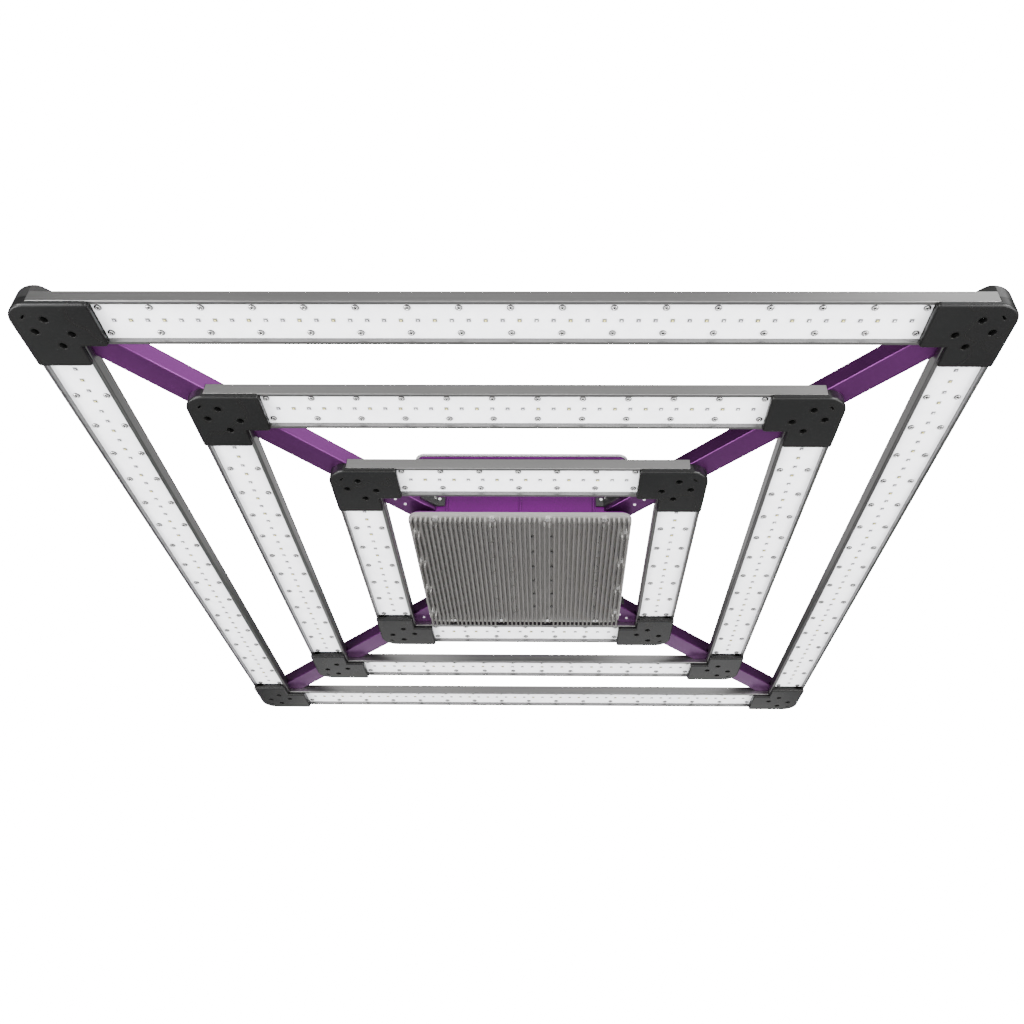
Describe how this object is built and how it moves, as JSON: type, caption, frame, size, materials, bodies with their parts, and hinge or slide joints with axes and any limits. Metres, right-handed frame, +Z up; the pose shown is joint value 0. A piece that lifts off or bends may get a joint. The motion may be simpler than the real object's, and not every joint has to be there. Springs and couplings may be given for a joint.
{
  "type": "led grow light",
  "caption": "Square LED grow light: three level rings of LED bars on four arms from a central driver hub with a finned heat sink.",
  "frame": {"origin": "middle of the four hanging lugs, level with the centres of their holes", "axes": "+Z up, +X to the right, +Y to the back; light leaves downwards along -Z"},
  "size_m": [1.118, 1.118, 0.1645],
  "materials": {
    "bar_anodised": "satin",
    "board_white": "satin",
    "led_phosphor": "gloss",
    "screw_steel": "satin",
    "bolt_black": "satin",
    "corner_black": "satin",
    "arm_purple": "satin",
    "cap_black": "matte",
    "rivet_grey": "satin",
    "loom_black": "matte",
    "sink_aluminium": "satin",
    "housing_purple": "satin",
    "gasket_rubber": "matte",
    "cover_silver": "satin",
    "bracket_black": "satin",
    "lug_steel": "satin",
    "gland_nylon": "matte",
    "driver_case": "satin",
    "terminal_grey": "matte"
  },
  "bodies": {
    "root": {"bar_outer_front": "bar_anodised", "board_outer_front": "board_white", "bar_outer_right": "bar_anodised", "board_outer_right": "board_white", "bar_outer_back": "bar_anodised", "board_outer_back": "board_white", "bar_outer_left": "bar_anodised", "board_outer_left": "board_white", "corner_outer_front_left": "corner_black", "corner_outer_front_right": "corner_black", "corner_outer_back_right": "corner_black", "corner_outer_back_left": "corner_black", "bar_middle_front": "bar_anodised", "board_middle_front": "board_white", "bar_middle_right": "bar_anodised", "board_middle_right": "board_white", "bar_middle_back": "bar_anodised", "board_middle_back": "board_white", "bar_middle_left": "bar_anodised", "board_middle_left": "board_white", "corner_middle_front_left": "corner_black", "corner_middle_front_right": "corner_black", "corner_middle_back_right": "corner_black", "corner_middle_back_left": "corner_black", "bar_inner_front": "bar_anodised", "board_inner_front": "board_white", "bar_inner_right": "bar_anodised", "board_inner_right": "board_white", "bar_inner_back": "bar_anodised", "board_inner_back": "board_white", "bar_inner_left": "bar_anodised", "board_inner_left": "board_white", "corner_inner_front_left": "corner_black", "corner_inner_front_right": "corner_black", "corner_inner_back_right": "corner_black", "corner_inner_back_left": "corner_black", "arm_front_left": "arm_purple", "arm_front_right": "arm_purple", "arm_back_right": "arm_purple", "arm_back_left": "arm_purple", "leds": "led_phosphor", "board_screws": "screw_steel", "corner_bolts": "bolt_black", "arm_caps": "cap_black", "arm_rivets": "rivet_grey", "arm_looms": "loom_black", "hub_brackets": "bracket_black", "bracket_screws": "screw_steel", "heat_sink": "sink_aluminium", "sink_screws": "screw_steel", "driver_screws": "screw_steel", "hub_housing": "housing_purple", "hub_gaskets": "gasket_rubber", "top_cover": "cover_silver", "cover_screws": "screw_steel", "hanging_lugs": "lug_steel", "cable_gland": "gland_nylon", "drivers": "driver_case", "terminal_block": "terminal_grey"}
  },
  "joints": []
}
